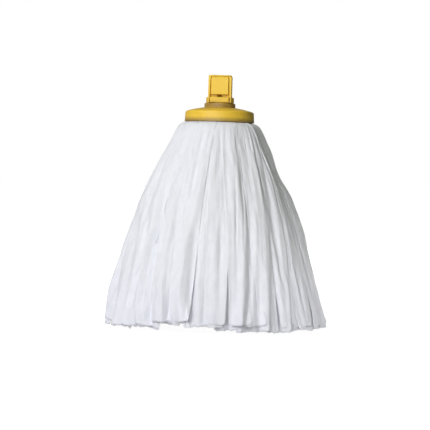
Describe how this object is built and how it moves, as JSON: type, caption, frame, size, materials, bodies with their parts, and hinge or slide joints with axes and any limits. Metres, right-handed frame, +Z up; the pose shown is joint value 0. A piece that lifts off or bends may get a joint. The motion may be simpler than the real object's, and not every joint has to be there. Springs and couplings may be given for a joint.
{
  "type": "string mop head",
  "caption": "Mop head of flat white cloth strips hanging from a domed yellow plastic cap, with a round handle socket and a spring latch tongue on top.",
  "frame": {"origin": "on the head's centre line, at the height of the strips' ends, where the hanging mop head would just touch the floor", "axes": "+Z up the handle socket, -Y towards the side with the latch tongue, +X to the right as seen from that side"},
  "size_m": [0.285, 0.285, 0.3232],
  "materials": {
    "yellow_plastic": "satin",
    "plate_plastic": "matte",
    "screw_steel": "satin",
    "strip_cloth": "matte"
  },
  "bodies": {
    "head": {"cap_shell": "yellow_plastic", "handle_socket": "yellow_plastic", "clamp_plate": "plate_plastic", "clamp_washer": "screw_steel", "clamp_screw": "screw_steel", "strip_pack": "strip_cloth", "middle_strips_01": "strip_cloth", "middle_strips_02": "strip_cloth", "middle_strips_03": "strip_cloth", "middle_strips_04": "strip_cloth", "middle_strips_05": "strip_cloth", "middle_strips_06": "strip_cloth", "middle_strips_07": "strip_cloth", "middle_strips_08": "strip_cloth", "middle_strips_09": "strip_cloth", "middle_strips_10": "strip_cloth", "middle_strips_11": "strip_cloth", "middle_strips_12": "strip_cloth", "inner_strips_01": "strip_cloth", "inner_strips_02": "strip_cloth", "inner_strips_03": "strip_cloth", "inner_strips_04": "strip_cloth", "inner_strips_05": "strip_cloth", "inner_strips_06": "strip_cloth", "inner_strips_07": "strip_cloth", "inner_strips_08": "strip_cloth", "core_strips_01": "strip_cloth", "core_strips_02": "strip_cloth", "core_strips_03": "strip_cloth", "core_strips_04": "strip_cloth", "core_strips_05": "strip_cloth", "core_strips_06": "strip_cloth", "core_strips_07": "strip_cloth", "core_strips_08": "strip_cloth"},
    "tongue": {"latch_tongue": "yellow_plastic"},
    "outer_01": {"outer_strips_01": "strip_cloth"},
    "outer_02": {"outer_strips_02": "strip_cloth"},
    "outer_03": {"outer_strips_03": "strip_cloth"},
    "outer_04": {"outer_strips_04": "strip_cloth"},
    "outer_05": {"outer_strips_05": "strip_cloth"},
    "outer_06": {"outer_strips_06": "strip_cloth"},
    "outer_07": {"outer_strips_07": "strip_cloth"},
    "outer_08": {"outer_strips_08": "strip_cloth"},
    "outer_09": {"outer_strips_09": "strip_cloth"},
    "outer_10": {"outer_strips_10": "strip_cloth"},
    "outer_11": {"outer_strips_11": "strip_cloth"},
    "outer_12": {"outer_strips_12": "strip_cloth"}
  },
  "joints": [
    {"name": "tongue_flex", "type": "hinge", "parent": "head", "child": "tongue", "pos_m": [0, -0.0154, 0.3192], "axis": [-1, 0, 0], "range_deg": [0, 8], "stiffness_Nm_per_rad": 0.01},
    {"name": "outer_swing_01", "type": "hinge", "parent": "head", "child": "outer_01", "pos_m": [0.05409, 0.01449, 0.2526], "axis": [0.2588, -0.9659, 0], "range_deg": [0, 60]},
    {"name": "outer_swing_02", "type": "hinge", "parent": "head", "child": "outer_02", "pos_m": [0.0396, 0.0396, 0.2526], "axis": [0.7071, -0.7071, 0], "range_deg": [0, 60]},
    {"name": "outer_swing_03", "type": "hinge", "parent": "head", "child": "outer_03", "pos_m": [0.01449, 0.05409, 0.2526], "axis": [0.9659, -0.2588, 0], "range_deg": [0, 60]},
    {"name": "outer_swing_04", "type": "hinge", "parent": "head", "child": "outer_04", "pos_m": [-0.01449, 0.05409, 0.2526], "axis": [0.9659, 0.2588, 0], "range_deg": [0, 60]},
    {"name": "outer_swing_05", "type": "hinge", "parent": "head", "child": "outer_05", "pos_m": [-0.0396, 0.0396, 0.2526], "axis": [0.7071, 0.7071, 0], "range_deg": [0, 60]},
    {"name": "outer_swing_06", "type": "hinge", "parent": "head", "child": "outer_06", "pos_m": [-0.05409, 0.01449, 0.2526], "axis": [0.2588, 0.9659, 0], "range_deg": [0, 60]},
    {"name": "outer_swing_07", "type": "hinge", "parent": "head", "child": "outer_07", "pos_m": [-0.05409, -0.01449, 0.2526], "axis": [-0.2588, 0.9659, 0], "range_deg": [0, 60]},
    {"name": "outer_swing_08", "type": "hinge", "parent": "head", "child": "outer_08", "pos_m": [-0.0396, -0.0396, 0.2526], "axis": [-0.7071, 0.7071, 0], "range_deg": [0, 60]},
    {"name": "outer_swing_09", "type": "hinge", "parent": "head", "child": "outer_09", "pos_m": [-0.01449, -0.05409, 0.2526], "axis": [-0.9659, 0.2588, 0], "range_deg": [0, 60]},
    {"name": "outer_swing_10", "type": "hinge", "parent": "head", "child": "outer_10", "pos_m": [0.01449, -0.05409, 0.2526], "axis": [-0.9659, -0.2588, 0], "range_deg": [0, 60]},
    {"name": "outer_swing_11", "type": "hinge", "parent": "head", "child": "outer_11", "pos_m": [0.0396, -0.0396, 0.2526], "axis": [-0.7071, -0.7071, 0], "range_deg": [0, 60]},
    {"name": "outer_swing_12", "type": "hinge", "parent": "head", "child": "outer_12", "pos_m": [0.05409, -0.01449, 0.2526], "axis": [-0.2588, -0.9659, 0], "range_deg": [0, 60]}
  ]
}
